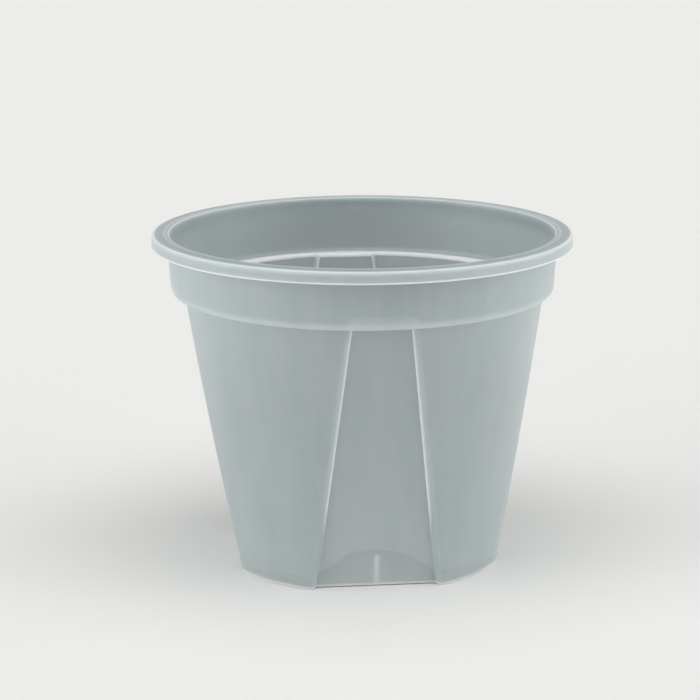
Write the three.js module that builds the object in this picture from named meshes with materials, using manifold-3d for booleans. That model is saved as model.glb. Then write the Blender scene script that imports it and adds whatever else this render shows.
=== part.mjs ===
// Four-panel nursery pot, a one-piece moulding in frosted polypropylene, modelled as the zones a
// maker would name: rim, collar, wall, floor and the cross rib under the floor.
// Millimetres, +Z up. The pot's axis is Z, its feet stand at z = 0 and its front panel faces -Y.
import * as THREE from 'three';
import { mergeVertices } from 'three/addons/utils/BufferGeometryUtils.js';
import Module from 'manifold-3d';

const wasm = await Module();
wasm.setup();

// Overall
const POT_HEIGHT = 118.5;
const RIM_DIAMETER = 150;
const FOOT_DIAMETER = 102.2;

// Rim: a flat flange with a lip turned down at its edge
const FLANGE_OVERHANG = 5.5;
const FLANGE_THICKNESS = 1.3;
const LIP_DROP = 4.4;
const LIP_THICKNESS = 1.1;
const RIM_ROUNDING = 0.6;

// Collar: a band under the rim, rounded at its foot, with a ledge that turns in to the wall
const COLLAR_DEPTH = 21.6;
const COLLAR_TAPER = 1.4;
const SHOULDER_ROUNDING = 2.5;
const LEDGE_WIDTH = 3.5;

// Wall: a tapered shell with a flat recessed panel on each of its four sides
const WALL_THICKNESS = 0.9;
const PANEL_TOP_WIDTH = 20;
const PANEL_FOOT_WIDTH = 42;
const PANEL_TOP_RECESS = 2.5;
const PANEL_FOOT_RECESS = 7.7;
const PANEL_SIDE_RUN = 1.6;
const PANEL_FOOT_LIFT = 0.3;

// Floor: four low corners behind the legs, and a vault that rises behind each panel
const FLOOR_HEIGHT = 4.6;
const FLOOR_THICKNESS = 1;
const VAULT_HEIGHT = 14;
const DRAIN_SLOT_WIDTH = 3.5;
const DRAIN_SLOT_LENGTH = 11;
const DRAIN_SLOT_SPACING = 8;

// Cross rib under the floor
const RIB_THICKNESS = 2.4;
const RIB_LIFT = 0.8;

// Gap that stands for the fused joint where a slanted or curved face meets its neighbour
const JOINT_GAP = 0.3;

// Facets
const SIDES = 4;
const PANEL_STEPS = 6;
const LEG_STEPS = 6;
const WALL_STEPS = 4;
const FLOOR_STEPS = 6;
const ROUNDING_STEPS = 3;
const RIM_STEPS = 72;
const SLOT_END_STEPS = 6;

// Worked out from the sizes above
const rimRadius = RIM_DIAMETER / 2;
const footRadius = FOOT_DIAMETER / 2;
const flangeUnderside = POT_HEIGHT - FLANGE_THICKNESS;
const collarTopRadius = rimRadius - FLANGE_OVERHANG;
const collarFootRadius = collarTopRadius - COLLAR_TAPER;
const wallTopRadius = collarFootRadius - LEDGE_WIDTH;
const wallHeight = POT_HEIGHT - COLLAR_DEPTH;
const shoulderRounding = Math.min(SHOULDER_ROUNDING, LEDGE_WIDTH);
const rimRounding = Math.min(RIM_ROUNDING, FLANGE_THICKNESS / 2, LIP_THICKNESS / 2);
const quarterTurn = (2 * Math.PI) / SIDES;
const { lerp } = THREE.MathUtils;

// Sizes of the wall's outside at height z
function wallSection(z) {
  const share = z / wallHeight;
  const radius = lerp(footRadius, wallTopRadius, share);
  const panelHalf = lerp(PANEL_FOOT_WIDTH, PANEL_TOP_WIDTH, share) / 2;
  const panelDistance = radius - lerp(PANEL_FOOT_RECESS, PANEL_TOP_RECESS, share);
  return { radius, panelHalf, panelDistance, legHalf: panelHalf + PANEL_SIDE_RUN };
}

// Outside plan of the wall at height z, anticlockwise from the front panel: each side has the leg's
// corner, the flat panel, the next leg's corner and that leg's arc
function wallOutline(z) {
  const { radius, panelHalf, panelDistance, legHalf } = wallSection(z);
  const cornerAngle = Math.asin(legHalf / radius);
  const outline = [];
  for (let side = 0; side < SIDES; side += 1) {
    const facing = side * quarterTurn - Math.PI / 2;
    const onArc = (angle) => new THREE.Vector2(radius, 0).rotateAround(new THREE.Vector2(), facing + angle);
    outline.push(onArc(-cornerAngle));
    for (let step = 0; step <= PANEL_STEPS; step += 1) {
      const along = lerp(-panelHalf, panelHalf, step / PANEL_STEPS);
      outline.push(new THREE.Vector2(panelDistance, along).rotateAround(new THREE.Vector2(), facing));
    }
    for (let step = 0; step < LEG_STEPS; step += 1) {
      outline.push(onArc(lerp(cornerAngle, quarterTurn - cornerAngle, step / LEG_STEPS)));
    }
  }
  return outline;
}

// The same plan moved inward by a distance, square to its edges
function movedInward(outline, distance) {
  const count = outline.length;
  return outline.map((point, i) => {
    const before = point.clone().sub(outline[(i + count - 1) % count]).normalize();
    const after = outline[(i + 1) % count].clone().sub(point).normalize();
    const inward = new THREE.Vector2(-before.y - after.y, before.x + after.x).normalize();
    const squareToEdge = new THREE.Vector2(-after.y, after.x);
    return point.clone().addScaledVector(inward, distance / inward.dot(squareToEdge));
  });
}

function ringAt(outline, z) {
  return outline.map((point) => new THREE.Vector3(point.x, point.y, z));
}

// Ring of the wall at height z, set inward from the outside by an inset
function wallRing(z, inset = 0) {
  return ringAt(movedInward(wallOutline(z), inset), z);
}

// Foot of the wall: the legs reach the ground and the panels stop just above it
function footRing(inset = 0) {
  const legs = wallRing(0, inset);
  const panels = wallRing(PANEL_FOOT_LIFT, inset);
  const perSide = legs.length / SIDES;
  return legs.map((point, i) => {
    const place = i % perSide;
    const onPanel = place >= 1 && place <= PANEL_STEPS + 1;
    return onPanel ? panels[i] : point;
  });
}

// Circle with its points at the same bearings as the wall's top ring
function collarRing(radius, z) {
  return wallOutline(wallHeight).map((point) => {
    const onCircle = point.clone().setLength(radius);
    return new THREE.Vector3(onCircle.x, onCircle.y, z);
  });
}

// Closed solid over rings of equally many points. The rings run up the outside and down the inside and
// meet again, or, where two end points are given, run from the first point to the second.
function skinned(rings, ends = []) {
  const count = rings[0].length;
  const points = rings.flat();
  const triangles = [];
  const lastRing = rings.length - 1;
  rings.forEach((ring, row) => {
    if (ends.length && row === lastRing) return;
    const nextRow = (row + 1) % rings.length;
    for (let i = 0; i < count; i += 1) {
      const next = (i + 1) % count;
      const [a, b] = [row * count + i, row * count + next];
      const [c, d] = [nextRow * count + next, nextRow * count + i];
      triangles.push(a, b, c, a, c, d);
    }
  });
  if (ends.length) {
    const first = points.push(ends[0]) - 1;
    const last = points.push(ends[1]) - 1;
    for (let i = 0; i < count; i += 1) {
      const next = (i + 1) % count;
      triangles.push(first, next, i);
      triangles.push(last, lastRing * count + i, lastRing * count + next);
    }
  }
  const geometry = new THREE.BufferGeometry().setFromPoints(points);
  geometry.setIndex(triangles);
  geometry.computeVertexNormals();
  return geometry;
}

function solidOf(geometry) {
  const bare = geometry.clone();
  bare.deleteAttribute('normal');
  bare.deleteAttribute('uv');
  const merged = mergeVertices(bare);
  const vertProperties = new Float32Array(merged.attributes.position.array);
  const triVerts = new Uint32Array(merged.index.array);
  return new wasm.Manifold(new wasm.Mesh({ numProp: 3, vertProperties, triVerts }));
}

function geometryOf(solid) {
  const { vertProperties, triVerts } = solid.getMesh();
  const geometry = new THREE.BufferGeometry();
  geometry.setAttribute('position', new THREE.BufferAttribute(vertProperties, 3));
  geometry.setIndex(new THREE.BufferAttribute(triVerts, 1));
  geometry.computeVertexNormals();
  return geometry;
}

// Quarter arc in a profile of (radius, height), both ends included
function quarterArc(centre, radius, fromAngle) {
  const points = [];
  for (let step = 0; step <= ROUNDING_STEPS; step += 1) {
    const angle = fromAngle + ((Math.PI / 2) * step) / ROUNDING_STEPS;
    points.push(new THREE.Vector2(radius, 0).rotateAround(new THREE.Vector2(), angle).add(centre));
  }
  return points;
}

function makeRim() {
  const boreRadius = collarTopRadius - WALL_THICKNESS;
  const lipInside = rimRadius - LIP_THICKNESS;
  const lipFoot = POT_HEIGHT - LIP_DROP;
  const roundedTop = POT_HEIGHT - rimRounding;
  const profile = [
    new THREE.Vector2(boreRadius, flangeUnderside),
    new THREE.Vector2(lipInside, flangeUnderside),
    new THREE.Vector2(lipInside, lipFoot),
    new THREE.Vector2(rimRadius, lipFoot),
    ...quarterArc(new THREE.Vector2(rimRadius - rimRounding, roundedTop), rimRounding, 0),
    ...quarterArc(new THREE.Vector2(boreRadius + rimRounding, roundedTop), rimRounding, Math.PI / 2),
    new THREE.Vector2(boreRadius, flangeUnderside),
  ];
  return new THREE.LatheGeometry(profile, RIM_STEPS).rotateX(Math.PI / 2);
}

function makeCollar() {
  const ledgeTop = wallHeight + WALL_THICKNESS;
  const roundingCentre = new THREE.Vector2(collarFootRadius - shoulderRounding, wallHeight + shoulderRounding);
  const insideRounding = shoulderRounding - WALL_THICKNESS;
  const outsideShoulder = quarterArc(roundingCentre, shoulderRounding, -Math.PI / 2);
  const insideShoulder = quarterArc(roundingCentre, insideRounding, -Math.PI / 2).reverse();
  return skinned([
    wallRing(wallHeight, WALL_THICKNESS),
    ...outsideShoulder.map((point) => collarRing(point.x, point.y)),
    collarRing(collarTopRadius, flangeUnderside),
    collarRing(collarTopRadius - WALL_THICKNESS, flangeUnderside),
    ...insideShoulder.map((point) => collarRing(point.x, point.y)),
    wallRing(ledgeTop, WALL_THICKNESS),
  ]);
}

function makeWall() {
  const outside = [footRing()];
  const inside = [footRing(WALL_THICKNESS)];
  for (let step = 1; step <= WALL_STEPS; step += 1) {
    const z = (wallHeight * step) / WALL_STEPS;
    outside.push(wallRing(z));
    inside.unshift(wallRing(z, WALL_THICKNESS));
  }
  return skinned([...outside, ...inside]);
}

// Height of the floor's top: low corners, and a round vault along both cross lines
function floorTop(x, y) {
  const vaultHalf = PANEL_FOOT_WIDTH / 2;
  const arch = (across) => Math.max(0, 1 - (across / vaultHalf) ** 2);
  return lerp(FLOOR_HEIGHT, VAULT_HEIGHT, Math.max(arch(x), arch(y)));
}

// Edge of the floor, where it meets the inside of the wall at its own height
function floorEdge() {
  const inset = WALL_THICKNESS + JOINT_GAP;
  const lowest = wallRing(FLOOR_HEIGHT - FLOOR_THICKNESS, inset);
  return lowest.map((point, i) => {
    const underside = floorTop(point.x, point.y) - FLOOR_THICKNESS;
    return wallRing(underside, inset)[i];
  });
}

function drainSlot() {
  const round = DRAIN_SLOT_WIDTH / 2;
  const straight = DRAIN_SLOT_LENGTH / 2 - round;
  const outline = new THREE.Shape();
  outline.absarc(straight, 0, round, -Math.PI / 2, Math.PI / 2);
  outline.absarc(-straight, 0, round, Math.PI / 2, (3 * Math.PI) / 2);
  return new THREE.ExtrudeGeometry(outline, {
    depth: VAULT_HEIGHT,
    bevelEnabled: false,
    curveSegments: SLOT_END_STEPS,
  });
}

function makeFloor() {
  const edge = floorEdge();
  const underside = [];
  const top = [];
  for (let step = 1; step <= FLOOR_STEPS; step += 1) {
    const spread = edge.map((point) => point.clone().multiplyScalar(step / FLOOR_STEPS));
    const lifted = spread.map((point) => point.clone().setZ(floorTop(point.x, point.y)));
    top.unshift(lifted);
    underside.push(lifted.map((point) => point.clone().setZ(point.z - FLOOR_THICKNESS)));
  }
  const crown = new THREE.Vector3(0, 0, floorTop(0, 0));
  const crownUnderside = crown.clone().setZ(crown.z - FLOOR_THICKNESS);
  let floor = solidOf(skinned([...underside, ...top], [crownUnderside, crown]));

  const cornerReach = wallSection(FLOOR_HEIGHT).radius - WALL_THICKNESS;
  const vaultReach = (PANEL_FOOT_WIDTH / 2) * Math.SQRT2;
  const slotDistance = (cornerReach + vaultReach) / 2;
  for (let leg = 0; leg < SIDES; leg += 1) {
    for (const way of [-1, 1]) {
      const slot = drainSlot().translate(slotDistance, (way * DRAIN_SLOT_SPACING) / 2, 0);
      slot.rotateZ((leg + 0.5) * quarterTurn);
      floor = floor.subtract(solidOf(slot));
    }
  }
  return geometryOf(floor);
}

function makeCrossRib() {
  const ribTop = VAULT_HEIGHT - FLOOR_THICKNESS - JOINT_GAP;
  const reachAt = (z) => wallSection(z).panelDistance - WALL_THICKNESS - JOINT_GAP;
  const blade = new THREE.Shape([
    new THREE.Vector2(-reachAt(RIB_LIFT), RIB_LIFT),
    new THREE.Vector2(reachAt(RIB_LIFT), RIB_LIFT),
    new THREE.Vector2(reachAt(ribTop), ribTop),
    new THREE.Vector2(-reachAt(ribTop), ribTop),
  ]);
  const across = new THREE.ExtrudeGeometry(blade, { depth: RIB_THICKNESS, bevelEnabled: false });
  across.translate(0, 0, -RIB_THICKNESS / 2).rotateX(Math.PI / 2);
  const along = across.clone().rotateZ(quarterTurn);
  return geometryOf(solidOf(across).add(solidOf(along)));
}

// Frosted polypropylene: cool grey, satin, lets light through
function frostedPolypropylene() {
  return new THREE.MeshStandardMaterial({
    color: 0xaab4b4,
    roughness: 0.42,
    metalness: 0,
    transparent: true,
    opacity: 0.7,
  });
}

function piece(name, geometry) {
  const mesh = new THREE.Mesh(geometry, frostedPolypropylene());
  mesh.name = name;
  return mesh;
}

const pot = new THREE.Group();
pot.name = 'nursery_pot';
pot.add(
  piece('rim', makeRim()),
  piece('collar', makeCollar()),
  piece('wall', makeWall()),
  piece('floor', makeFloor()),
  piece('cross_rib', makeCrossRib()),
);

export default pot;
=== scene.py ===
"""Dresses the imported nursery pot: fine moulded meshes, frosted polypropylene, a pale studio and a camera."""

import math
from typing import NamedTuple

import bpy
import numpy as np
from bpy.props import FloatProperty, FloatVectorProperty, PointerProperty
from mathutils import Matrix, Vector


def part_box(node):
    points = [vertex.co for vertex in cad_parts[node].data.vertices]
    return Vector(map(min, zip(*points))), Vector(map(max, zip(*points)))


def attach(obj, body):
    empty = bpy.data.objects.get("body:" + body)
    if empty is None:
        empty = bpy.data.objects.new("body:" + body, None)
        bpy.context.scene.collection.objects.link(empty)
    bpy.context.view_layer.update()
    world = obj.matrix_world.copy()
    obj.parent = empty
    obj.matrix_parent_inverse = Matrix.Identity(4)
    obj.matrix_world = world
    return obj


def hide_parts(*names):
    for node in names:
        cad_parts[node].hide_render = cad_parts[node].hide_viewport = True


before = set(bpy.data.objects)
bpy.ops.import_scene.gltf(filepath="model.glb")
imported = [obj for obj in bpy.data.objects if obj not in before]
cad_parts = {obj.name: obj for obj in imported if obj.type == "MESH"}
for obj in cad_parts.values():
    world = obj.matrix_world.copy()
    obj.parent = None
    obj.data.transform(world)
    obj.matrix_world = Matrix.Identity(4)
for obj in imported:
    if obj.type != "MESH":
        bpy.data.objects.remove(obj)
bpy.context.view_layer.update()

bl_info = {
    "name": "Frosted nursery pot",
    "version": (1, 0, 0),
    "blender": (4, 5, 0),
    "location": "3D View > Sidebar > Nursery pot",
    "description": "Fine meshes, frosted plastic, studio light and a camera for a packed nursery pot",
    "category": "Mesh",
}

# Units
MM = 0.001
METRE = 1.0

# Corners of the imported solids, which the sizes start from
RIM_LOW, RIM_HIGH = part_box("rim")
COLLAR_LOW, COLLAR_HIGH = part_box("collar")
FLOOR_LOW, FLOOR_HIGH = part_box("floor")
RIB_LOW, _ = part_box("cross_rib")

# The pot has four like sides. Half a side runs from the middle of its panel to the middle of a leg,
# and its columns of points fall into these five stretches.
SIDES = 4
PANEL_COLUMNS = 20
FOLD_COLUMNS = 4
SLOPE_COLUMNS = 4
EDGE_COLUMNS = 6
LEG_COLUMNS = 16
HALF_COLUMNS = PANEL_COLUMNS + FOLD_COLUMNS + SLOPE_COLUMNS + EDGE_COLUMNS + LEG_COLUMNS
ROUND_COLUMNS = 2 * SIDES * HALF_COLUMNS

# Rows of points: how many in a rounding, the longest step between the others, and the least rounding
ROUNDING_ROWS = 6
RIM_STEP = 0.25 * MM
COLLAR_STEP = 0.8 * MM
FOOT_STEP = 0.5 * MM
WALL_STEP = 3.5 * MM
FLOOR_ROWS = 40
SLOT_END_STEPS = 12
LEAST_ROUNDING = 0.1 * MM

# Thickness of the floor, and width of the sloping sides of the flange's dip
FLOOR_THICKNESS = 1.0 * MM
DISH_RUN = 1.4 * MM

# How evenly the columns of a panel are spaced: 1 is even, and less gathers them at its middle.
PANEL_EVENNESS = 0.3

# Names of two point attributes, each from 0 to 1: how much painted glow, painted highlight and painted light
# whiten a place, and how much painted shade darkens it, on the inside and the flange's top
PAINTED_GLOW = "painted_glow"
PAINTED_SHADE = "painted_shade"
# Painted shade: how strongly the inside and the flange's top are darkened towards the painted shade colour
INNER_PAINTED_SHADE = 0.9

# Frame of the photograph
IMAGE_SIDE = 700
SENSOR_WIDTH_MM = 36.0
CLIP_START = 10 * MM

# Edges that turn more than this stay crisp.
SHARP_ANGLE = math.radians(40)

# Soft lamps: name, bearing from the front panel, climb, strength and spread, with angles in degrees
LAMPS = (
    ("top_lamp", 0, 80, 1.85, 70),
    ("left_front_lamp", -62, 12, 0.9, 50),
    ("right_front_lamp", 62, 12, 0.9, 50),
    ("left_lamp", -90, 10, 1.1, 45),
    ("right_lamp", 90, 10, 1.1, 45),
)

# Strength of the world as light, and as it is seen
WORLD_LIGHT = 0.25
WORLD_SEEN = 1.0


class Whitening(NamedTuple):
    """How white a place looks, from 0 to 1, how far from it that holds, and the length it then fades over.

    Where the fading starts before the place is reached, the distance that it holds for is negative.
    """

    share: float
    full: float
    reach: float

    def at(self, distance):
        return self.share * np.exp(-np.maximum(distance - self.full, 0.0) / self.reach)


# Places whitened with painted light: painted glow along the foot, the inner ledge and the lip's foot, painted
# highlights on the rim's edge, the flange's ridge and the bore's edge, painted light that lifts the shade
# under the rim, and joints with the floor and the rib that are partly thicker plastic and partly painted glow
FOOT_EDGE = Whitening(1.0, 0.2 * MM, 0.5 * MM)
LEG_JOINT = Whitening(0.24, 0.0, 0.7 * MM)
RIB_FLANK = Whitening(1.0, -0.6 * MM, 0.9 * MM)
RIB_TOP = Whitening(0.5, -2.5 * MM, 1.5 * MM)
INNER_LEDGE = Whitening(0.9, 0.0, 0.12 * MM)
UNDER_RIM = Whitening(0.16, 0.0, 2.5 * MM)
LIP_FOOT = Whitening(1.0, 0.5 * MM, 0.1 * MM)
RIM_EDGE = Whitening(0.5, 0.3 * MM, 0.4 * MM)
FLANGE_RIDGE = Whitening(0.25, 0.0, 0.4 * MM)
BORE_EDGE = Whitening(0.35, 0.2 * MM, 0.3 * MM)

# How much of its painted shade the bore loses near the rim, as painted light where the rim shades the bore
BORE_SHADE_FADE = Whitening(0.75, 0.0, 3.5 * MM)

# Painted light on broader places, from 0 to 1: painted glow on the slopes outside, the folds and the lip's
# face, a painted highlight up the shoulder, painted light that lifts the shade on the slopes inside, low on
# the wall, under the floor and on the floor, and a whiter rib that is partly thick plastic and partly painted
# glow
OUTER_SLOPE_GLOW = 0.12
INNER_SLOPE_GLOW = 0.6
LOW_FOLD_SHARE = 0.28
LOW_WALL_GLOW = 0.18
FLOOR_JOINT_GLOW = 0.23
BELOW_FLOOR_GLOW = 0.29
OUTER_LEDGE_GLOW = 0.3
LIP_FACE_GLOW = 0.15
FLOOR_GLOW = 0.3
RIB_GLOW = 0.75

# Where those places lie, how far they run and how steeply they fade
FOLD_FADE_FOOT = 20 * MM
FOLD_FADE_RUN = 12 * MM
LOW_WALL_POWER = 1.2
BELOW_FLOOR_RUN = 8 * MM
LEDGE_START = 0.3 * MM
LEDGE_RUN_AT_LEG = 2.9 * MM
LEDGE_RUN_AT_PANEL = 5.2 * MM
RIM_EDGE_INSET = 0.3 * MM


def srgb(hex_colour):
    """Linear colour with alpha from an sRGB hex value."""
    channels = [int(hex_colour[i:i + 2], 16) / 255 for i in (1, 3, 5)]
    linear = [c / 12.92 if c <= 0.04045 else ((c + 0.055) / 1.055) ** 2.4 for c in channels]
    return (*linear, 1.0)


def length(name, description, default):
    """A size in metres."""
    return FloatProperty(name=name, description=description, default=default, unit="LENGTH", precision=5)


def colour(name, description, hex_colour):
    """A colour, given as an sRGB hex value."""
    return FloatVectorProperty(
        name=name, description=description, default=srgb(hex_colour), size=4, subtype="COLOR", min=0, max=1
    )


class PotSizes(bpy.types.PropertyGroup):
    """Sizes of the pot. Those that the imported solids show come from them."""

    height: length("Height", "From the ground to the top of the rim", RIM_HIGH.z)
    rim_radius: length("Rim radius", "Outside of the lip", RIM_HIGH.x)
    lip_foot: length("Lip foot", "Height of the lip's lower edge", RIM_LOW.z)
    lip_thickness: length("Lip thickness", "Wall of the turned-down lip", 1.1 * MM)
    lip_lean: length("Lip lean", "How far the lip's top lies inside its lower edge", 0.3 * MM)
    flange_underside: length("Flange underside", "Height where the collar meets the flange", COLLAR_HIGH.z)
    flange_dish: length("Flange dish", "Depth of the shallow dip round the flange", 0.22 * MM)
    rim_rounding: length("Rim rounding", "Radius of the flange's outer edge", 1.0 * MM)
    ridge_offset: length("Ridge offset", "From the bore out to the low ridge on the flange", 1.7 * MM)
    bore_rounding: length("Bore rounding", "Radius of the flange's inner edge", 0.6 * MM)
    small_rounding: length("Small rounding", "Radius of the fine moulded edges", 0.3 * MM)

    collar_radius: length("Collar radius", "Outside of the collar under the flange", COLLAR_HIGH.x)
    collar_taper: length("Collar taper", "How far the collar draws in towards its foot", 1.4 * MM)
    shoulder_rounding: length("Shoulder rounding", "Radius of the collar's foot", 2.5 * MM)
    ledge_height: length("Ledge height", "Height of the ledge's underside", COLLAR_LOW.z)
    ledge_width: length("Ledge width", "From the collar's foot in to the legs", 3.5 * MM)
    ledge_rounding: length("Ledge rounding", "Radius of the ledge's inner edge", 0.7 * MM)

    foot_radius: length("Foot radius", "Outside of the legs at the ground", 51.1 * MM)
    wall_thickness: length("Wall thickness", "Wall, collar and bore", 0.9 * MM)
    panel_top_width: length("Panel top width", "Flat panel under the ledge", 20.0 * MM)
    panel_foot_width: length("Panel foot width", "Flat panel at the ground", 42.0 * MM)
    panel_top_recess: length("Panel top recess", "Depth behind the legs at the top", 2.5 * MM)
    panel_foot_recess: length("Panel foot recess", "Depth behind the legs at the ground", 7.7 * MM)
    panel_side_run: length("Panel side run", "Width of the slope from panel to leg", 1.6 * MM)
    panel_foot_lift: length("Panel foot lift", "Gap between the panel's lower edge and the ground", 0.3 * MM)
    fold_rounding: length("Fold rounding", "Radius where the panel turns into its slope", 0.4 * MM)
    edge_rounding: length("Edge rounding", "Radius where the slope turns into the leg", 1.4 * MM)

    floor_height: length("Floor height", "Top of the floor in the legs", FLOOR_LOW.z + FLOOR_THICKNESS)
    floor_thickness: length("Floor thickness", "Wall of the floor", FLOOR_THICKNESS)
    vault_height: length("Vault height", "Top of the floor behind the panels", FLOOR_HIGH.z)
    slot_width: length("Drain slot width", "Across a drain slot", 3.5 * MM)
    slot_length: length("Drain slot length", "Along a drain slot", 11.0 * MM)
    slot_spacing: length("Drain slot spacing", "Between the two slots of a leg", 8.0 * MM)
    rib_thickness: length("Rib thickness", "Across a blade of the cross rib", 2.4 * MM)
    rib_foot: length("Rib foot", "Height of the rib's lower edge", RIB_LOW.z)


class PotFinish(bpy.types.PropertyGroup):
    """Colours of the moulding and of the studio."""

    wall_colour: colour("Wall", "Frosted polypropylene in a thin wall", "#A7B4B7")
    cloud_colour: colour("Clouding", "The same where the melt ran a little clearer", "#9DABAE")
    # Painted shade: the inside and the flange's top are drawn darker in this colour
    painted_shade_colour: colour("Clear side", "The same where the polished core left it clearest", "#5F6F73")
    # Painted glow, painted highlights and painted light whiten places towards this colour
    painted_glow_colour: colour("Edges", "The same along thick and edge-on places", "#F8FCFC")
    floor_colour: colour("Studio floor", "Matt painted board", "#E3E3E1")
    backdrop_colour: colour("Backdrop", "What lies behind the floor", "#F1F1EF")
    light_colour: colour("Light", "Daylight-balanced soft boxes", "#FFFFFF")


class StudioSettings(bpy.types.PropertyGroup):
    """Camera and floor of the studio."""

    camera_reach: length("Camera reach", "Level distance from the pot's axis", 771.3 * MM)
    camera_height: length("Camera height", "Above the ground", 261.9 * MM)
    camera_turn: FloatProperty(
        name="Camera turn", description="Bearing of the camera from the front panel, towards -X",
        default=math.radians(6.066), subtype="ANGLE",
    )
    camera_pan: FloatProperty(
        name="Camera pan", description="How far the view is turned from the pot's axis",
        default=math.radians(0.334), subtype="ANGLE",
    )
    camera_pitch: FloatProperty(
        name="Camera pitch", description="Downward tilt of the view",
        default=math.radians(13.664), subtype="ANGLE",
    )
    camera_roll: FloatProperty(
        name="Camera roll", description="Lean of the picture", default=math.radians(0.213), subtype="ANGLE",
    )
    focal_pixels: FloatProperty(
        name="Focal length", description="In pixels of the square picture", default=2199.7, subtype="PIXEL",
    )
    floor_reach: length("Floor reach", "From the pot's axis to the edges of the studio floor", 40 * METRE)


def lerp(start, end, share):
    return start + (end - start) * share


def collar_foot_radius(sizes):
    return sizes.collar_radius - sizes.collar_taper


def bore_radius(sizes):
    return sizes.collar_radius - sizes.wall_thickness


def in_bore(sizes, radius):
    """Whether a radius lies on the bore or the inner part of its rounding."""
    return radius < bore_radius(sizes) + sizes.bore_rounding / 2


def wall_section(sizes, z):
    """Outside of the wall at height z: leg radius, half panel, panel distance and half gap of the legs."""
    share = z / sizes.ledge_height
    radius = lerp(sizes.foot_radius, collar_foot_radius(sizes) - sizes.ledge_width, share)
    panel_half = lerp(sizes.panel_foot_width, sizes.panel_top_width, share) / 2
    panel_distance = radius - lerp(sizes.panel_foot_recess, sizes.panel_top_recess, share)
    return radius, panel_half, panel_distance, panel_half + sizes.panel_side_run


def stretch(count, first):
    """Shares along a stretch of columns, up to and with its end. The first stretch has its start too."""
    shares = np.linspace(0.0, 1.0, count + 1)
    return shares if first else shares[1:]


def half_side(sizes, z, inset):
    """Plan of half a side of the wall, moved inward by the inset: across, outward and z of each column."""
    z = np.broadcast_to(np.asarray(z, float), HALF_COLUMNS + 1)
    radius, half, distance, leg_half = wall_section(sizes, z)
    slope = np.arctan2(np.sqrt(radius ** 2 - leg_half ** 2) - distance, leg_half - half)
    along = np.array([np.cos(slope), np.sin(slope)])
    leg_radius = radius - inset

    fold = np.array([half + inset * np.tan(slope / 2), distance - inset])
    reach = np.sum(fold * along, axis=0)
    run = np.sqrt(reach ** 2 - np.sum(fold ** 2, axis=0) + leg_radius ** 2) - reach
    edge = fold + run * along
    bearing = np.arctan2(edge[0], edge[1])

    fold_radius = np.maximum(sizes.fold_rounding + inset, LEAST_ROUNDING)
    edge_radius = np.maximum(sizes.edge_rounding - inset, LEAST_ROUNDING)
    fold_cut = fold_radius * np.tan(slope / 2)
    edge_turn = slope + bearing
    edge_cut = edge_radius * np.tan(edge_turn / 2)
    slope_start = fold + fold_cut * along
    slope_end = edge - edge_cut * along
    edge_centre = slope_end + edge_radius * np.array([along[1], -along[0]])

    plan = np.zeros((2, HALF_COLUMNS + 1))
    used = 0

    def fill(count, points_at):
        nonlocal used
        shares = stretch(count, used == 0)
        columns = slice(used, used + len(shares))
        plan[:, columns] = points_at(shares, columns)
        used += len(shares)

    # Columns lie closer together at the panel's middle, where the rib meets it.
    fill(PANEL_COLUMNS, lambda share, c: np.array([
        lerp(share ** 2, share, PANEL_EVENNESS) * (fold[0] - fold_cut)[c], fold[1][c],
    ]))
    fill(FOLD_COLUMNS, lambda share, c: np.array([
        (fold[0] - fold_cut)[c] + fold_radius * np.sin(share * slope[c]),
        fold[1][c] + fold_radius * (1 - np.cos(share * slope[c])),
    ]))
    fill(SLOPE_COLUMNS, lambda share, c: lerp(slope_start[:, c], slope_end[:, c], share))
    fill(EDGE_COLUMNS, lambda share, c: edge_centre[:, c] + edge_radius * np.array([
        -np.sin(slope[c] - share * edge_turn[c]),
        np.cos(slope[c] - share * edge_turn[c]),
    ]))
    leg_start = bearing + edge_cut / leg_radius
    fill(LEG_COLUMNS, lambda share, c: leg_radius[c] * np.array([
        np.sin(lerp(leg_start[c], math.pi / SIDES, share)),
        np.cos(lerp(leg_start[c], math.pi / SIDES, share)),
    ]))
    return np.vstack([plan, z])


def column_weights(panel, fold, slope, edge, leg):
    """One number for each column of half a side, from (start, end) pairs for its five stretches."""
    stretches = (
        (PANEL_COLUMNS, panel), (FOLD_COLUMNS, fold), (SLOPE_COLUMNS, slope),
        (EDGE_COLUMNS, edge), (LEG_COLUMNS, leg),
    )
    weights = []
    for count, (start, end) in stretches:
        weights.extend(lerp(start, end, stretch(count, not weights)))
    return np.array(weights)


def circle_row(sizes, radius, z):
    """Half a side of a circle, with its points at the bearings of the wall's top."""
    across, outward, _ = half_side(sizes, sizes.ledge_height, 0.0)
    bearing = np.arctan2(across, outward)
    return np.array([radius * np.sin(bearing), radius * np.cos(bearing), np.full_like(bearing, z)])


def round_the_pot(half):
    """Values of half a side repeated for both halves of all four sides."""
    return np.tile(np.concatenate([half[:0:-1], half[:-1]]), SIDES)


def ring(row):
    """Points all the way round, anticlockwise from above, from a row of half a side."""
    across, outward, z = row
    mirrored = np.concatenate([-across[:0:-1], across[:-1]])
    side_outward = np.concatenate([outward[:0:-1], outward[:-1]])
    points = []
    for side in range(SIDES):
        facing = 2 * math.pi * side / SIDES - math.pi / 2
        x = side_outward * math.cos(facing) - mirrored * math.sin(facing)
        y = side_outward * math.sin(facing) + mirrored * math.cos(facing)
        points.append(np.column_stack([x, y]))
    return np.column_stack([np.vstack(points), round_the_pot(z)])


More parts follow.
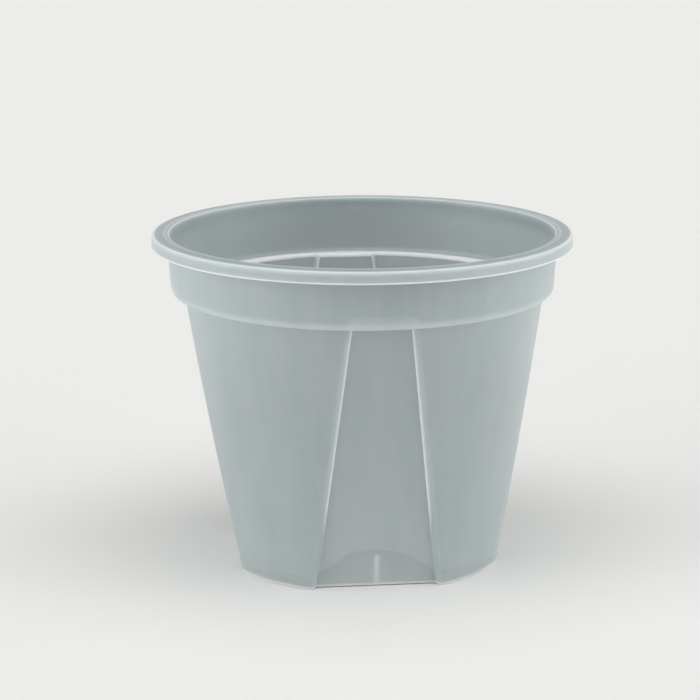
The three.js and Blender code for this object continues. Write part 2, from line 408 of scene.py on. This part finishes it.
def rounded(corners):
    """Points of a bent line through corners of (across, height, rounding), with arcs at the corners."""
    flat = [np.array(corner[:2], float) for corner in corners]
    points = [flat[0]]
    for i in range(1, len(corners) - 1):
        rounding = corners[i][2]
        before = flat[i] - flat[i - 1]
        after = flat[i + 1] - flat[i]
        before /= np.linalg.norm(before)
        after /= np.linalg.norm(after)
        turn = math.atan2(before[0] * after[1] - before[1] * after[0], before.dot(after))
        left = np.array([-before[1], before[0]]) * math.copysign(rounding, turn)
        centre = flat[i] - before * rounding * math.tan(abs(turn) / 2) + left
        for step in range(ROUNDING_ROWS + 1):
            angle = turn * step / ROUNDING_ROWS
            turned = Matrix.Rotation(angle, 2) @ Vector(-left)
            points.append(centre + np.array(turned))
    points.append(flat[-1])
    return points


def new_piece(name, points, faces, glow, painted_shade, *nodes):
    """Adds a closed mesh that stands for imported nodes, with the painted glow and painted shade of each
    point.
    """
    mesh = bpy.data.meshes.new(name)
    mesh.from_pydata([tuple(point) for point in points], [], faces)
    if mesh.validate():
        raise RuntimeError(f"{name}: the mesh had faulty faces")
    for attribute, values in ((PAINTED_GLOW, glow), (PAINTED_SHADE, painted_shade)):
        mesh.attributes.new(attribute, "FLOAT", "POINT").data.foreach_set("value", np.clip(values, 0, 1))
    piece = bpy.data.objects.new(name, mesh)
    bpy.context.scene.collection.objects.link(piece)
    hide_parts(*nodes)
    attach(piece, "root")
    return piece


def skinned_faces(row_count, column_count, closed):
    """Quads between rows of points, and from the last row to the first where the rows close on themselves."""
    faces = []
    for row in range(row_count if closed else row_count - 1):
        here = row * column_count
        there = (row + 1) % row_count * column_count
        for i in range(column_count):
            j = (i + 1) % column_count
            faces.append((here + i, here + j, there + j, there + i))
    return faces


def capped_faces(row_count, column_count):
    """Quads between rows, with a fan at each end: the first pole and then the last one follow the rows."""
    faces = skinned_faces(row_count, column_count, closed=False)
    first = row_count * column_count
    last_row = (row_count - 1) * column_count
    for i in range(column_count):
        j = (i + 1) % column_count
        faces.append((first, j, i))
        faces.append((first + 1, last_row + i, last_row + j))
    return faces


def finish_piece(piece, context):
    """Smooth shading with crisp edges, and the moulding's material."""
    mesh = piece.data
    mesh.shade_smooth()
    mesh.set_sharp_from_angle(angle=SHARP_ANGLE)
    mesh.materials.clear()
    mesh.materials.append(frosted_polypropylene(context.scene.pot_finish))


def add_node(tree, kind, settings=None, values=None, links=None):
    """Adds a node, with its settings, the values of its inputs and the links into them."""
    node = tree.nodes.new(kind)
    for name, setting in (settings or {}).items():
        setattr(node, name, setting)
    for name, value in (values or {}).items():
        node.inputs[name].default_value = value
    for name, socket in (links or {}).items():
        tree.links.new(socket, node.inputs[name])
    return node


def new_material(name):
    """An empty node material and its tree."""
    material = bpy.data.materials.new(name)
    material.use_nodes = True
    material.node_tree.nodes.clear()
    return material, material.node_tree


def frosted_polypropylene(finish):
    """Polypropylene, injection moulded between a spark-eroded cavity and a polished core.

    The eye sees a milky, cool grey skin with a satin gloss and no clear reflection. Light passes through it
    blurred and it clouds a little where the melt ran. Folds, edges and joints are whitened with painted glow
    and painted highlights, and shaded places with painted light; the inside and the flange's top get painted
    shade.
    """
    name = "frosted_polypropylene_moulded"
    if name in bpy.data.materials:
        return bpy.data.materials[name]
    material, tree = new_material(name)
    # Clouding is about 35 mm across, and flow streaks are about 6 mm wide and 120 mm long up the wall.
    # The cavity's grain is about 0.1 mm on the real pot and is drawn at 0.7 mm, so that it shows.
    cloud_size = 35 * MM
    streak_width = 6 * MM
    streak_length = 120 * MM
    grain_size = 0.7 * MM
    place = add_node(tree, "ShaderNodeTexCoord").outputs["Object"]
    streak_place = add_node(
        tree, "ShaderNodeMapping",
        values={"Scale": (METRE / streak_width, METRE / streak_width, METRE / streak_length)},
        links={"Vector": place},
    ).outputs["Vector"]
    cloud = add_node(
        tree, "ShaderNodeTexNoise", values={"Scale": METRE / cloud_size, "Detail": 3.0},
        links={"Vector": place},
    ).outputs["Fac"]
    streak = add_node(
        tree, "ShaderNodeTexNoise", values={"Scale": 1.0, "Detail": 2.0}, links={"Vector": streak_place},
    ).outputs["Fac"]
    grain = add_node(
        tree, "ShaderNodeTexNoise", values={"Scale": METRE / grain_size, "Detail": 1.0},
        links={"Vector": place},
    ).outputs["Fac"]
    clear = add_node(
        tree, "ShaderNodeMath", {"operation": "MULTIPLY"}, links={0: cloud, 1: streak},
    ).outputs["Value"]
    clear_share = add_node(
        tree, "ShaderNodeMapRange", values={"From Min": 0.15, "From Max": 0.36, "To Max": 0.6},
        links={"Value": clear},
    ).outputs["Result"]
    glow = add_node(tree, "ShaderNodeAttribute", {"attribute_name": PAINTED_GLOW}).outputs["Fac"]
    wall = add_node(
        tree, "ShaderNodeMix", {"data_type": "RGBA"},
        values={"A": finish.wall_colour, "B": finish.cloud_colour}, links={"Factor": clear_share},
    )
    # Painted shade darkens the inside and the flange's top
    painted_shade = add_node(tree, "ShaderNodeAttribute", {"attribute_name": PAINTED_SHADE}).outputs["Fac"]
    sided = add_node(
        tree, "ShaderNodeMix", {"data_type": "RGBA"}, values={"B": finish.painted_shade_colour},
        links={"Factor": painted_shade, "A": wall.outputs["Result"]},
    )
    # Painted glow, painted highlights and painted light whiten the skin
    skin = add_node(
        tree, "ShaderNodeMix", {"data_type": "RGBA"}, values={"B": finish.painted_glow_colour},
        links={"Factor": glow, "A": sided.outputs["Result"]},
    )
    satin = add_node(
        tree, "ShaderNodeMapRange",
        values={"From Min": 0.3, "From Max": 0.7, "To Min": 0.40, "To Max": 0.5},
        links={"Value": cloud},
    ).outputs["Result"]
    relief = add_node(
        tree, "ShaderNodeBump", values={"Strength": 0.12, "Distance": 0.1 * MM}, links={"Height": grain},
    ).outputs["Normal"]
    # Painted glow also shortens the scattering, so the whitened places look more opaque
    # How far light runs before it scatters is matched: 9 mm in the wall, 1.6 mm in whiter edges.
    free_run = add_node(
        tree, "ShaderNodeMapRange", values={"From Max": 0.4, "To Min": 9 * MM, "To Max": 1.6 * MM},
        links={"Value": glow},
    ).outputs["Result"]
    plastic = add_node(
        tree, "ShaderNodeBsdfPrincipled",
        values={
            "IOR": 1.49, "Transmission Weight": 0.1, "Sheen Weight": 0.35, "Sheen Roughness": 0.35,
            "Subsurface Weight": 1.0, "Subsurface Radius": (1.0, 1.0, 1.0),
        },
        links={
            "Base Color": skin.outputs["Result"], "Roughness": satin, "Normal": relief,
            "Subsurface Scale": free_run,
        },
    ).outputs["BSDF"]
    add_node(tree, "ShaderNodeOutputMaterial", links={"Surface": plastic})
    return material


def painted_board(finish):
    """Board with matt emulsion, rolled on: pale, even, with no gloss."""
    material, tree = new_material("matt_painted_board")
    # The roller's stipple is about 2 mm across.
    stipple_size = 2 * MM
    place = add_node(tree, "ShaderNodeTexCoord").outputs["Object"]
    stipple = add_node(
        tree, "ShaderNodeTexNoise", values={"Scale": METRE / stipple_size, "Detail": 1.0},
        links={"Vector": place},
    ).outputs["Fac"]
    relief = add_node(
        tree, "ShaderNodeBump", values={"Strength": 0.03, "Distance": 0.1 * MM}, links={"Height": stipple},
    ).outputs["Normal"]
    paint = add_node(
        tree, "ShaderNodeBsdfPrincipled",
        values={"Base Color": finish.floor_colour, "Roughness": 0.9, "IOR": 1.45},
        links={"Normal": relief},
    ).outputs["BSDF"]
    add_node(tree, "ShaderNodeOutputMaterial", links={"Surface": paint})
    return material


def spaced(points, step):
    """The points of a line with more put in, so that no two lie further apart than the step."""
    closer = [points[0]]
    for before, after in zip(points, points[1:]):
        count = max(1, math.ceil(np.linalg.norm(after - before) / step))
        closer += [lerp(before, after, (i + 1) / count) for i in range(count)]
    return closer


def wall_row(sizes, inset, z):
    """Half a side of the wall at height z, with the panel's lower edge lifted off the ground."""
    on_panel = column_weights((1, 1), (1, 1), (1, 0), (0, 0), (0, 0))
    lift = sizes.panel_foot_lift * on_panel * (1 - z / sizes.ledge_height)
    return half_side(sizes, z + lift, inset)


def wall_glow(sizes, row, outside):
    """Painted glow on the wall's folds and foot, painted light lifting its shade low down and under the floor,
    and joints with the floor and rib whitened, partly as thicker plastic and partly as painted glow.
    """
    across, outward, z = row
    # Painted glow along the folds, fading towards the foot; inside, painted light lifts the shade on the
    # slopes
    slope_end = OUTER_SLOPE_GLOW if outside else INNER_SLOPE_GLOW
    folds = column_weights((0, 0), (0.9, 1), (0.75, slope_end), (slope_end, 0.03), (0.02, 0))
    folds = folds * lerp(LOW_FOLD_SHARE, 1.0, np.clip((z - FOLD_FADE_FOOT) / FOLD_FADE_RUN, 0, 1))
    # Painted glow along the foot's edge
    foot_share = column_weights((1, 1), (1, 1), (1, 0.6), (0.6, 0.6), (0.6, 0.6))
    foot = foot_share * FOOT_EDGE.at(z - sizes.small_rounding - sizes.panel_foot_lift)
    # Painted light that whitens the outside towards the ground, where the wall is shaded low down
    whitened = column_weights((1, 1), (1, 1), (1, 0.5), (0.5, 0.4), (0.4, 0.4)) if outside else 0.0
    low_down = LOW_WALL_GLOW * whitened * (1 - z / sizes.ledge_height) ** LOW_WALL_POWER
    # Painted light that whitens the wall from the floor's joint down, lifting the shade of the hollow under
    # the floor
    joint_height = floor_top(sizes, across, outward) - sizes.floor_thickness / 2
    below_share = column_weights((1, 1), (1, 1), (1, 0.75), (0.75, 0.75), (0.75, 0.75))
    under_floor = below_share * np.clip((joint_height - z) / sizes.floor_thickness + 1.0, 0, 1)
    depth_share = np.clip((joint_height - z) / BELOW_FLOOR_RUN, 0, 1)
    below_floor = under_floor * lerp(FLOOR_JOINT_GLOW, BELOW_FLOOR_GLOW, depth_share)
    # Joints with the floor and the rib are whitened, partly as thicker plastic and partly as painted glow
    on_leg = column_weights((0, 0), (0, 0), (0, 0.5), (0.5, 1), (1, 1))
    leg_joint = on_leg * LEG_JOINT.at(np.abs(z - joint_height))
    beside_rib = RIB_FLANK.at(np.abs(across) - sizes.rib_thickness / 2)
    rib_joint = beside_rib * RIB_TOP.at(z - sizes.vault_height)
    return np.maximum.reduce([folds, foot, low_down, below_floor, leg_joint, rib_joint])


def collar_and_rim(sizes):
    """Profile of the shoulder, the collar, the rim and the collar's inside, as (radius, height)."""
    thickness = sizes.wall_thickness
    fine = sizes.small_rounding
    foot = collar_foot_radius(sizes)
    wall_top = foot - sizes.ledge_width
    ledge_top = sizes.ledge_height + thickness
    bore = bore_radius(sizes)
    lip_inside = sizes.rim_radius - sizes.lip_thickness
    lip_top = sizes.rim_radius - sizes.lip_lean
    dished = sizes.height - sizes.flange_dish
    ridge = bore + sizes.ridge_offset
    path = rounded([
        (wall_top, sizes.ledge_height, 0),
        (foot, sizes.ledge_height, sizes.shoulder_rounding),
        (sizes.collar_radius, sizes.flange_underside, fine),
        (lip_inside - sizes.lip_lean, sizes.flange_underside, fine),
        (lip_inside, sizes.lip_foot, fine),
        (sizes.rim_radius, sizes.lip_foot, fine),
        (lip_top, sizes.height, sizes.rim_rounding),
        (lip_top - DISH_RUN, dished, fine),
        (ridge + DISH_RUN, dished, fine),
        (ridge, sizes.height, fine),
        (bore, sizes.height, sizes.bore_rounding),
        (foot - thickness, ledge_top, sizes.shoulder_rounding - thickness),
        (wall_top, ledge_top, 0),
    ])[1:-1]
    close_up = []
    for before, after in zip(path, path[1:]):
        on_rim = min(before[1], after[1]) >= sizes.lip_foot
        close_up += spaced([before, after], RIM_STEP if on_rim else COLLAR_STEP)[:-1]
    return close_up + [path[-1]]


def collar_glow(sizes, radius, z, outside):
    """Painted glow and painted highlights of the collar and the rim: a highlight band up the shoulder, glow
    along the inner ledge and the lip, highlights on the rim's edges, and painted light under the rim in the
    bore.
    """
    over_panel = column_weights((1, 1), (1, 0.9), (0.9, 0.4), (0.4, 0), (0, 0))
    rise = z - sizes.ledge_height
    # Outside, a painted highlight band up the shoulder; inside, painted glow along the ledge's edge
    if outside:
        ledge_run = lerp(LEDGE_RUN_AT_LEG, LEDGE_RUN_AT_PANEL, over_panel)
        ledge = OUTER_LEDGE_GLOW * np.clip(1 - (rise - LEDGE_START) / ledge_run, 0, 1)
    else:
        ledge = INNER_LEDGE.at(rise - sizes.wall_thickness) * np.ones_like(over_panel)
    # Painted light that lifts the shade just under the rim, inside the bore
    under_rim = UNDER_RIM.at(sizes.height - z) if in_bore(sizes, radius) and not outside else 0.0
    lip_inside = sizes.rim_radius - sizes.lip_thickness
    lip_top = sizes.rim_radius - sizes.lip_lean
    on_lip = radius > lip_inside - sizes.lip_lean
    # Painted glow along the lip's foot and on its face, and painted highlights on the rim's edge, the flange's
    # ridge and the bore's edge
    lip_foot = on_lip * LIP_FOOT.at(z - sizes.lip_foot)
    lip_face = LIP_FACE_GLOW * (radius > lip_top)
    from_top = z - sizes.height
    past_bore = radius - bore_radius(sizes)
    rim_edge = RIM_EDGE.at(math.hypot(from_top, radius - lip_top + RIM_EDGE_INSET))
    ridge = FLANGE_RIDGE.at(math.hypot(from_top, past_bore - sizes.ridge_offset))
    bore_edge = BORE_EDGE.at(math.hypot(from_top, past_bore))
    return np.maximum(ledge, max(under_rim, lip_foot, lip_face, rim_edge, ridge, bore_edge))


def rim_painted_shade(sizes, radius, z, outside):
    """How much painted shade the collar and the rim get.

    None outside and on the lip, full painted shade on the flange's top and inside, and less of it in the
    bore's first few millimetres, where painted light lifts the shade under the rim.
    """
    on_lip = radius > sizes.rim_radius - sizes.rim_rounding
    if outside or on_lip:
        return 0.0
    # Painted light near the rim: the bore's painted shade fades out towards its top
    shade_fade = BORE_SHADE_FADE.at(sizes.height - z) if in_bore(sizes, radius) else 0.0
    return INNER_PAINTED_SHADE * (1 - shade_fade)


class POT_OT_shell(bpy.types.Operator):
    """Adds the wall with its panels and legs, the collar and the rim, as the one shell they are moulded in"""

    bl_idname = "nursery_pot.shell"
    bl_label = "Shell"

    def execute(self, context):
        sizes = context.scene.pot_sizes
        thickness = sizes.wall_thickness
        fine = sizes.small_rounding
        ledge = sizes.ledge_height
        ledge_top = ledge + thickness
        foot = rounded([
            (thickness, thickness, 0), (thickness, 0, fine), (0, 0, fine), (0, thickness, 0),
        ])[1:-1]
        low = np.arange(fine + FOOT_STEP, sizes.vault_height + 4 * FOOT_STEP, FOOT_STEP)
        high = np.linspace(low[-1], ledge, math.ceil((ledge - low[-1]) / WALL_STEP) + 1)[1:]
        climb = [*low, *high]
        ledge_edge = rounded([
            (thickness - 2 * sizes.ledge_rounding, ledge_top, 0),
            (thickness, ledge_top, sizes.ledge_rounding),
            (thickness, ledge, 0),
        ])[1:-1]
        rows = []
        glow = []
        painted_shade = []
        for inset, z in [*foot, *((0.0, z) for z in climb)]:
            rows.append(wall_row(sizes, inset, z))
            glow.append(wall_glow(sizes, rows[-1], outside=True))
            painted_shade.append(0.0)
        outside = True
        for radius, z in collar_and_rim(sizes):
            outside = outside and z < sizes.lip_foot
            rows.append(circle_row(sizes, radius, z))
            glow.append(collar_glow(sizes, radius, z, outside))
            painted_shade.append(rim_painted_shade(sizes, radius, z, outside))
        # Painted glow at full strength along the ledge's inner edge
        for inset, z in [*ledge_edge, (thickness, ledge - fine)]:
            rows.append(wall_row(sizes, inset, z))
            glow.append(np.ones(HALF_COLUMNS + 1))
            painted_shade.append(INNER_PAINTED_SHADE)
        for z in [ledge - 1.5 * fine, *reversed(climb[:-1])]:
            rows.append(wall_row(sizes, thickness, z))
            glow.append(wall_glow(sizes, rows[-1], outside=False))
            painted_shade.append(INNER_PAINTED_SHADE)
        points = np.vstack([ring(row) for row in rows])
        faces = skinned_faces(len(rows), ROUND_COLUMNS, closed=True)
        point_glow = np.concatenate([round_the_pot(row) for row in glow])
        point_painted_shade = np.repeat(painted_shade, ROUND_COLUMNS)
        piece = new_piece("pot_shell", points, faces, point_glow, point_painted_shade, "rim", "collar", "wall")
        finish_piece(piece, context)
        return {"FINISHED"}


def floor_top(sizes, x, y):
    """Height of the floor's top: low in the legs, with a round vault along both cross lines."""
    vault_half = sizes.panel_foot_width / 2
    # How softly the vault's foot runs out, as a share of its rise
    softness = 0.1

    def arch(across):
        bow = 1 - (across / vault_half) ** 2
        return (bow + np.sqrt(bow ** 2 + softness ** 2)) / 2

    rise = np.minimum(np.maximum(arch(x), arch(y)), 1.0)
    return lerp(sizes.floor_height, sizes.vault_height, rise)


def drain_slot(sizes, leg, way):
    """Cutter for one drain slot, a round-ended bar that stands through the floor."""
    corner_reach = wall_section(sizes, sizes.floor_height)[0] - sizes.wall_thickness
    vault_reach = sizes.panel_foot_width / 2 * math.sqrt(2)
    distance = (corner_reach + vault_reach) / 2
    half_width = sizes.slot_width / 2
    straight = sizes.slot_length / 2 - half_width
    outline = []
    for end in (1, -1):
        for step in range(SLOT_END_STEPS + 1):
            angle = math.pi * (step / SLOT_END_STEPS - 0.5) + (math.pi if end < 0 else 0)
            along = end * straight + half_width * math.cos(angle)
            outline.append(Vector((along, half_width * math.sin(angle), 0)))
    turn = Matrix.Rotation((leg + 0.5) * 2 * math.pi / SIDES, 4, "Z")
    shift = Matrix.Translation((distance, way * sizes.slot_spacing / 2, 0))
    lower = [turn @ shift @ point for point in outline]
    upper = [point + Vector((0, 0, sizes.vault_height)) for point in lower]
    count = len(outline)
    faces = skinned_faces(2, count, closed=False)
    faces.append(tuple(reversed(range(count))))
    faces.append(tuple(range(count, 2 * count)))
    mesh = bpy.data.meshes.new("drain_slot_cutter")
    mesh.from_pydata(lower + upper, [], faces)
    return bpy.data.objects.new("drain_slot_cutter", mesh)


def cut_away(piece, cutters, context):
    """Cuts the cutters out of a piece, for good, and removes them."""
    gathered = bpy.data.collections.new("cutters")
    context.scene.collection.children.link(gathered)
    for cutter in cutters:
        gathered.objects.link(cutter)
    cut = piece.modifiers.new("drain_slots", "BOOLEAN")
    cut.operation = "DIFFERENCE"
    cut.solver = "EXACT"
    cut.operand_type = "COLLECTION"
    cut.collection = gathered
    context.view_layer.update()
    evaluated = piece.evaluated_get(context.evaluated_depsgraph_get())
    whole = piece.data
    piece.data = bpy.data.meshes.new_from_object(evaluated)
    piece.modifiers.remove(cut)
    bpy.data.meshes.remove(whole)
    for cutter in cutters:
        bpy.data.meshes.remove(cutter.data)
    bpy.data.collections.remove(gathered)


class POT_OT_floor(bpy.types.Operator):
    """Adds the vaulted floor, let into the wall, with its drain slots"""

    bl_idname = "nursery_pot.floor"
    bl_label = "Floor"

    def execute(self, context):
        sizes = context.scene.pot_sizes
        thickness = sizes.wall_thickness
        rim_inset = thickness / 2
        level = half_side(sizes, sizes.floor_height, rim_inset)
        edge_height = floor_top(sizes, level[0], level[1]) - sizes.floor_thickness / 2
        edge = half_side(sizes, edge_height, rim_inset)
        shares = np.sin(np.linspace(0, math.pi / 2, FLOOR_ROWS + 1)[1:])
        rows = []
        for drop, order in ((sizes.floor_thickness, shares), (0.0, shares[::-1])):
            for share in order:
                across, outward = edge[0] * share, edge[1] * share
                rows.append(np.array([across, outward, floor_top(sizes, across, outward) - drop]))
        crown = floor_top(sizes, 0.0, 0.0)
        poles = np.array([(0, 0, crown - sizes.floor_thickness), (0, 0, crown)])
        points = np.vstack([ring(row) for row in rows] + [poles])
        # Painted light whitens the floor and lifts the shade of the hollow under it
        glow = np.full(len(points), FLOOR_GLOW)
        painted_shade = np.zeros(len(points))
        faces = capped_faces(len(rows), ROUND_COLUMNS)
        piece = new_piece("pot_floor", points, faces, glow, painted_shade, "floor")
        cutters = [drain_slot(sizes, leg, way) for leg in range(SIDES) for way in (-1, 1)]
        cut_away(piece, cutters, context)
        finish_piece(piece, context)
        return {"FINISHED"}


class POT_OT_cross_rib(bpy.types.Operator):
    """Adds the two crossed blades under the floor"""

    bl_idname = "nursery_pot.cross_rib"
    bl_label = "Cross rib"

    def execute(self, context):
        sizes = context.scene.pot_sizes
        half = sizes.rib_thickness / 2
        fine = sizes.small_rounding
        top = sizes.vault_height - sizes.floor_thickness / 2
        edge = rounded([(2 * fine, sizes.rib_foot, 0), (0, sizes.rib_foot, fine), (0, top, 0)])[1:]
        points = []
        for inset, z in edge:
            reach = wall_section(sizes, z)[2] - sizes.wall_thickness / 2 - inset
            flank = half - inset
            for side in range(SIDES):
                turn = Matrix.Rotation(2 * math.pi * side / SIDES, 4, "Z")
                for x, y in ((flank, -flank), (reach, -flank), (reach, flank)):
                    points.append(turn @ Vector((x, y, z)))
        row_count = len(edge)
        column_count = 3 * SIDES
        points.append(Vector((0, 0, sizes.rib_foot)))
        points.append(Vector((0, 0, top)))
        faces = capped_faces(row_count, column_count)
        # The rib is whitened, partly as thick plastic and partly as painted glow
        glow = np.full(len(points), RIB_GLOW)
        painted_shade = np.zeros(len(points))
        piece = new_piece("pot_cross_rib", points, faces, glow, painted_shade, "cross_rib")
        finish_piece(piece, context)
        return {"FINISHED"}


def far_lamp(name, bearing, climb, strength, spread, finish):
    """A soft lamp so far away that it lights the floor evenly, seen from the pot at a bearing and a climb."""
    lamp = bpy.data.lights.new(name, "SUN")
    lamp.energy = strength
    lamp.angle = math.radians(spread)
    lamp.color = finish.light_colour[:3]
    holder = bpy.data.objects.new(name, lamp)
    seen = Vector((
        math.sin(math.radians(bearing)) * math.cos(math.radians(climb)),
        -math.cos(math.radians(bearing)) * math.cos(math.radians(climb)),
        math.sin(math.radians(climb)),
    ))
    holder.rotation_euler = seen.to_track_quat("Z", "Y").to_euler()
    bpy.context.scene.collection.objects.link(holder)


def photo_camera(studio):
    """The camera at the photograph's place, with the view's own axes as its rotation."""
    bearing = studio.camera_turn - studio.camera_pan
    pitch = studio.camera_pitch
    forward = Vector((
        math.sin(bearing) * math.cos(pitch), math.cos(bearing) * math.cos(pitch), -math.sin(pitch),
    ))
    level_right = Vector((math.cos(bearing), -math.sin(bearing), 0))
    level_up = level_right.cross(forward)
    lean = studio.camera_roll
    right = level_right * math.cos(lean) - level_up * math.sin(lean)
    up = level_up * math.cos(lean) + level_right * math.sin(lean)
    lens = bpy.data.cameras.new("photo_camera")
    lens.sensor_width = SENSOR_WIDTH_MM
    lens.lens = studio.focal_pixels * SENSOR_WIDTH_MM / IMAGE_SIDE
    lens.clip_start = CLIP_START
    camera = bpy.data.objects.new("photo_camera", lens)
    place = Vector((
        -studio.camera_reach * math.sin(studio.camera_turn),
        -studio.camera_reach * math.cos(studio.camera_turn),
        studio.camera_height,
    ))
    camera.matrix_world = Matrix.Translation(place) @ Matrix((right, up, -forward)).transposed().to_4x4()
    return camera


class POT_OT_studio(bpy.types.Operator):
    """Adds the floor, the soft light and the camera"""

    bl_idname = "nursery_pot.studio"
    bl_label = "Studio"

    def execute(self, context):
        scene = context.scene
        finish = scene.pot_finish
        extent = scene.studio_settings.floor_reach
        mesh = bpy.data.meshes.new("studio_floor")
        mesh.from_pydata(
            [(-extent, -extent, 0), (extent, -extent, 0), (extent, extent, 0), (-extent, extent, 0)],
            [], [(0, 1, 2, 3)],
        )
        mesh.materials.append(painted_board(finish))
        floor = bpy.data.objects.new("studio_floor", mesh)
        scene.collection.objects.link(floor)

        for lamp in LAMPS:
            far_lamp(*lamp, finish)

        world = bpy.data.worlds.new("studio")
        world.use_nodes = True
        tree = world.node_tree
        background = tree.nodes["Background"]
        background.inputs["Color"].default_value = finish.backdrop_colour
        rays = add_node(tree, "ShaderNodeLightPath").outputs
        seen = rays["Is Camera Ray"]
        for ray in ("Is Glossy Ray", "Is Transmission Ray"):
            links = {0: seen, 1: rays[ray]}
            seen = add_node(tree, "ShaderNodeMath", {"operation": "MAXIMUM"}, links=links).outputs["Value"]
        # The world lights the pot with less than the eye sees behind it.
        strength = add_node(
            tree, "ShaderNodeMapRange", values={"To Min": WORLD_LIGHT, "To Max": WORLD_SEEN},
            links={"Value": seen},
        ).outputs["Result"]
        tree.links.new(strength, background.inputs["Strength"])
        scene.world = world

        camera = photo_camera(scene.studio_settings)
        scene.collection.objects.link(camera)
        scene.camera = camera
        scene.view_settings.view_transform = "Standard"
        return {"FINISHED"}


class POT_PT_panel(bpy.types.Panel):
    """Lists the pot's pieces, sizes and finishes"""

    bl_idname = "POT_PT_panel"
    bl_label = "Nursery pot"
    bl_space_type = "VIEW_3D"
    bl_region_type = "UI"
    bl_category = "Nursery pot"

    def draw(self, context):
        for operator in OPERATORS:
            self.layout.operator(operator.bl_idname)
        for group in (context.scene.pot_sizes, context.scene.pot_finish, context.scene.studio_settings):
            box = self.layout.box()
            for name in group.bl_rna.properties.keys():
                if name not in ("rna_type", "name"):
                    box.prop(group, name)


OPERATORS = (POT_OT_shell, POT_OT_floor, POT_OT_cross_rib, POT_OT_studio)
GROUPS = {"pot_sizes": PotSizes, "pot_finish": PotFinish, "studio_settings": StudioSettings}


def register():
    for group in GROUPS.values():
        bpy.utils.register_class(group)
    for name, group in GROUPS.items():
        setattr(bpy.types.Scene, name, PointerProperty(type=group))
    for operator in OPERATORS:
        bpy.utils.register_class(operator)
    bpy.utils.register_class(POT_PT_panel)


def unregister():
    bpy.utils.unregister_class(POT_PT_panel)
    for operator in reversed(OPERATORS):
        bpy.utils.unregister_class(operator)
    for name, group in GROUPS.items():
        delattr(bpy.types.Scene, name)
        bpy.utils.unregister_class(group)


def main():
    register()
    bpy.ops.nursery_pot.shell()
    bpy.ops.nursery_pot.floor()
    bpy.ops.nursery_pot.cross_rib()
    bpy.ops.nursery_pot.studio()


if __name__ == "__main__":
    main()
